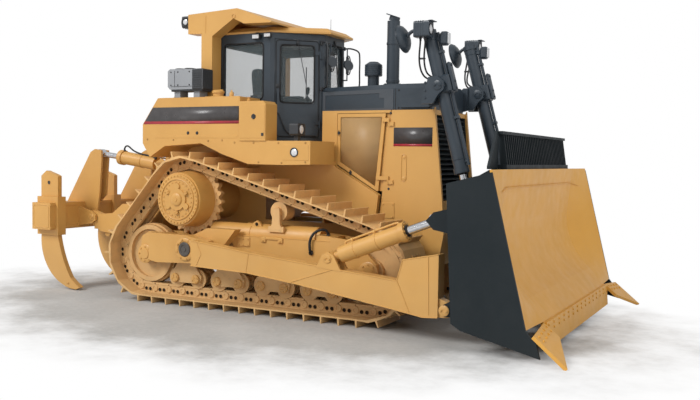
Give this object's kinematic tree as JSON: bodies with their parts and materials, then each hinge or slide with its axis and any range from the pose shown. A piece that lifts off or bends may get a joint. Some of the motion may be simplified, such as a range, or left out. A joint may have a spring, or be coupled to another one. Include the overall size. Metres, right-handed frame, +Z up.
{
  "type": "bulldozer",
  "caption": "Bulldozer on tracks with raised sprockets, a lifting blade with tilt cylinders, a glazed cab and a ripper.",
  "frame": {"origin": "on the ground, under the middle of the machine's length and width", "axes": "+X forwards to the blade, +Y to the machine's left, +Z up"},
  "size_m": [8.26, 4.32, 4.0122],
  "materials": {
    "body_paint": "satin",
    "dark_paint": "satin",
    "black_paint": "matte",
    "door_paint": "satin",
    "blade_face": "satin",
    "rod_chrome": "polished",
    "glazing": "clear",
    "track_paint": "worn",
    "engine_iron": "rough",
    "seat_fabric": "woven",
    "trim_plastic": "matte",
    "lamp_glass": "gloss"
  },
  "bodies": {
    "tractor": {"radiator_guard": "body_paint", "engine_panels": "body_paint", "fenders": "body_paint", "side_skirts": "body_paint", "fuel_tank": "body_paint", "side_boxes": "body_paint", "cab_roof": "body_paint", "rops": "body_paint", "track_frame_left": "body_paint", "track_frame_right": "body_paint", "final_drives": "body_paint", "ripper_bracket": "body_paint", "main_frame": "body_paint", "hood": "dark_paint", "cab_frame": "dark_paint", "exhaust": "dark_paint", "lift_yokes": "dark_paint", "mirrors": "dark_paint", "aircon_box": "dark_paint", "grille": "black_paint", "radiator": "black_paint", "pivot_shaft": "black_paint", "cab_glass": "glazing", "track_left": "track_paint", "track_right": "track_paint", "sprockets": "track_paint", "idlers": "track_paint", "carrier_rollers": "track_paint", "track_rollers": "track_paint", "engine": "engine_iron", "seat": "seat_fabric", "console": "trim_plastic", "lamps": "lamp_glass"},
    "cab_door_right": {"cab_door_right": "dark_paint", "cab_door_glass_right": "glazing"},
    "cab_door_left": {"cab_door_left": "dark_paint", "cab_door_glass_left": "glazing"},
    "engine_door_right": {"engine_door_right": "door_paint"},
    "engine_door_left": {"engine_door_left": "door_paint"},
    "push_arms": {"push_arms": "body_paint"},
    "blade": {"moldboard": "blade_face", "blade_frame": "black_paint", "cutting_edge": "blade_face", "trash_rack": "black_paint"},
    "lift_barrels": {"lift_barrels": "dark_paint", "work_lamps": "lamp_glass"},
    "lift_rods": {"lift_rods": "rod_chrome"},
    "tilt_barrels": {"tilt_barrels": "body_paint"},
    "tilt_rods": {"tilt_rods": "rod_chrome"},
    "ripper_link": {"ripper_link": "body_paint"},
    "ripper_pins": {"ripper_pins": "rod_chrome"},
    "toolbar": {"toolbar": "body_paint", "shanks": "body_paint"},
    "ripper_tip_barrels": {"ripper_tip_barrels": "body_paint"},
    "ripper_tip_rods": {"ripper_tip_rods": "rod_chrome"},
    "ripper_lift_barrels": {"ripper_lift_barrels": "body_paint"},
    "ripper_lift_rods": {"ripper_lift_rods": "rod_chrome"}
  },
  "joints": [
    {"name": "cab_door_right_swing", "type": "hinge", "parent": "tractor", "child": "cab_door_right", "pos_m": [0.27016, -0.32789, 2.95], "axis": [0, 0, 1], "range_deg": [0, 75]},
    {"name": "cab_door_left_swing", "type": "hinge", "parent": "tractor", "child": "cab_door_left", "pos_m": [0.27016, 0.32789, 2.95], "axis": [0, 0, -1], "range_deg": [0, 75]},
    {"name": "engine_door_right_swing", "type": "hinge", "parent": "tractor", "child": "engine_door_right", "pos_m": [1.44, -0.598, 2.1], "axis": [0, 0, 1], "range_deg": [0, 95]},
    {"name": "engine_door_left_swing", "type": "hinge", "parent": "tractor", "child": "engine_door_left", "pos_m": [1.44, 0.598, 2.1], "axis": [0, 0, -1], "range_deg": [0, 95]},
    {"name": "blade_lift", "type": "hinge", "parent": "tractor", "child": "push_arms", "pos_m": [-0.99, 0, 0.802], "axis": [0, -1, 0], "range_deg": [-7.4, 17]},
    {"name": "blade_pitch", "type": "hinge", "parent": "push_arms", "child": "blade", "pos_m": [2.709, 0, 0.389], "axis": [0, -1, 0], "range_deg": [-5, 5]},
    {"name": "lift_barrel_swing", "type": "hinge", "parent": "tractor", "child": "lift_barrels", "pos_m": [2.195, 0, 2.91], "axis": [0, -1, 0], "range_deg": [-4, 9]},
    {"name": "lift_rod_slide", "type": "slide", "parent": "lift_barrels", "child": "lift_rods", "axis": [0.2621, 0, -0.965], "range_m": [-1.12, 0.5]},
    {"name": "tilt_barrel_swing", "type": "hinge", "parent": "push_arms", "child": "tilt_barrels", "pos_m": [1.248, 0, 0.849], "axis": [0, -1, 0], "range_deg": [-1, 1]},
    {"name": "tilt_rod_slide", "type": "slide", "parent": "tilt_barrels", "child": "tilt_rods", "axis": [0.9334, 0, 0.3588], "range_m": [-0.1, 0.1]},
    {"name": "ripper_lift", "type": "hinge", "parent": "tractor", "child": "ripper_link", "pos_m": [-2.285, 0, 0.99], "axis": [0, 1, 0], "range_deg": [-25, 35]},
    {"name": "ripper_level", "type": "hinge", "parent": "ripper_link", "child": "ripper_pins", "pos_m": [-3.495, 0, 1.06], "axis": [0, 1, 0], "range_deg": [-36, 26]},
    {"name": "ripper_tip", "type": "hinge", "parent": "ripper_pins", "child": "toolbar", "pos_m": [-3.495, 0, 1.06], "axis": [0, 1, 0], "range_deg": [-14, 14]},
    {"name": "ripper_tip_barrel_swing", "type": "hinge", "parent": "tractor", "child": "ripper_tip_barrels", "pos_m": [-2.23, 0, 1.88], "axis": [0, 1, 0], "range_deg": [-25, 35]},
    {"name": "ripper_tip_rod_slide", "type": "slide", "parent": "ripper_tip_barrels", "child": "ripper_tip_rods", "axis": [-0.992, 0, 0.1265], "range_m": [-0.26, 0.26]},
    {"name": "ripper_lift_barrel_swing", "type": "hinge", "parent": "tractor", "child": "ripper_lift_barrels", "pos_m": [-2.23, 0, 1.7], "axis": [0, 1, 0], "range_deg": [-18, 25]},
    {"name": "ripper_lift_rod_slide", "type": "slide", "parent": "ripper_lift_barrels", "child": "ripper_lift_rods", "axis": [-0.8296, 0, -0.5584], "range_m": [-0.37, 0.27]}
  ],
  "couplings": [
    {"joint": "lift_barrel_swing", "follows": "blade_lift", "ratio": 0.465},
    {"joint": "lift_rod_slide", "follows": "blade_lift", "m_per_rad": -3.67},
    {"joint": "tilt_barrel_swing", "follows": "blade_pitch", "ratio": 0.145},
    {"joint": "tilt_rod_slide", "follows": "blade_pitch", "m_per_rad": -0.95},
    {"joint": "ripper_level", "follows": "ripper_lift", "ratio": -1},
    {"joint": "ripper_tip_barrel_swing", "follows": "ripper_lift", "ratio": 0.95},
    {"joint": "ripper_tip_rod_slide", "follows": "ripper_tip", "m_per_rad": -0.98},
    {"joint": "ripper_lift_barrel_swing", "follows": "ripper_lift", "ratio": 0.67},
    {"joint": "ripper_lift_rod_slide", "follows": "ripper_lift", "m_per_rad": -0.573}
  ]
}
